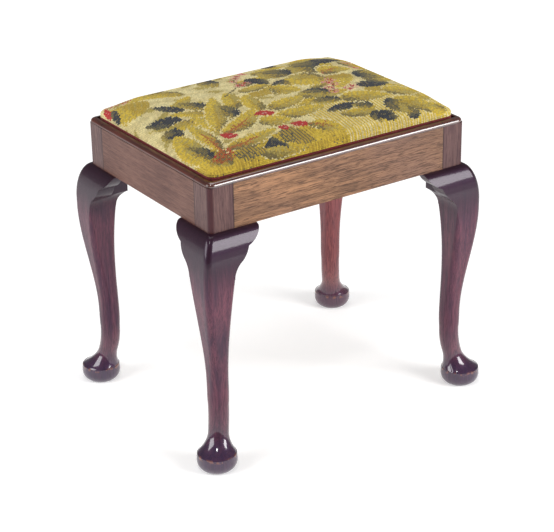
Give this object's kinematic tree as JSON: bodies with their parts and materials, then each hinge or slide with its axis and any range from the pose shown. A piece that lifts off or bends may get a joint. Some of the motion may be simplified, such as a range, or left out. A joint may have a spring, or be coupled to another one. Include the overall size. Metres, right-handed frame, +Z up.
{
  "type": "upholstered stool",
  "caption": "Cabriole-leg wooden stool with shaped knee blocks, pad feet, a moulded top edge and a domed needlework seat that lifts out of a rebate in the rails.",
  "frame": {"origin": "on the floor, under the middle of the stool", "axes": "+X along the long rails, -Y the long side seen in the picture, +Z up"},
  "size_m": [0.5004, 0.3924, 0.46],
  "materials": {
    "leg_wood": "dark red-brown mahogany, French polished, worn on the edges",
    "rail_wood": "mid-brown mahogany with dark flecked grain, waxed",
    "block_wood": "plain softwood, unpolished",
    "screw_steel": "dull steel",
    "seat_frame_wood": "planed beech, unpolished",
    "webbing": "jute webbing with woven stripes",
    "tack_steel": "blued cut tacks",
    "hessian": "open plain weave",
    "stuffing": "curled hair",
    "calico": "plain weave, undyed",
    "needlework": "wool tent stitch on canvas, leaves and flowers on a cream ground"
  },
  "bodies": {
    "frame": {"corner_block_back_left": "block_wood", "corner_block_back_right": "block_wood", "corner_block_front_left": "block_wood", "corner_block_front_right": "block_wood", "corner_block_screws": "screw_steel", "knee_block_back_left": "leg_wood", "knee_block_back_right": "leg_wood", "knee_block_front_left": "leg_wood", "knee_block_front_right": "leg_wood", "knee_block_left_back": "leg_wood", "knee_block_left_front": "leg_wood", "knee_block_right_back": "leg_wood", "knee_block_right_front": "leg_wood", "leg_back_left": "leg_wood", "leg_back_right": "leg_wood", "leg_front_left": "leg_wood", "leg_front_right": "leg_wood", "rail_back": "rail_wood", "rail_front": "rail_wood", "rail_left": "rail_wood", "rail_right": "rail_wood", "top_moulding_back": "rail_wood", "top_moulding_front": "rail_wood", "top_moulding_left": "rail_wood", "top_moulding_right": "rail_wood"},
    "drop_in_seat": {"calico_lining": "calico", "cover_tacks": "tack_steel", "hessian": "hessian", "needlework_cover": "needlework", "seat_bar_back": "seat_frame_wood", "seat_bar_front": "seat_frame_wood", "seat_bar_left": "seat_frame_wood", "seat_bar_right": "seat_frame_wood", "stuffing": "stuffing", "webbing_cross_1": "webbing", "webbing_cross_2": "webbing", "webbing_cross_3": "webbing", "webbing_cross_4": "webbing", "webbing_long_1": "webbing", "webbing_long_2": "webbing", "webbing_long_3": "webbing", "webbing_tacks": "tack_steel"}
  },
  "joints": [
    {"name": "seat_lift", "type": "slide", "parent": "frame", "child": "drop_in_seat", "axis": [0, 0, 1], "range_m": [0, 0.12]}
  ]
}
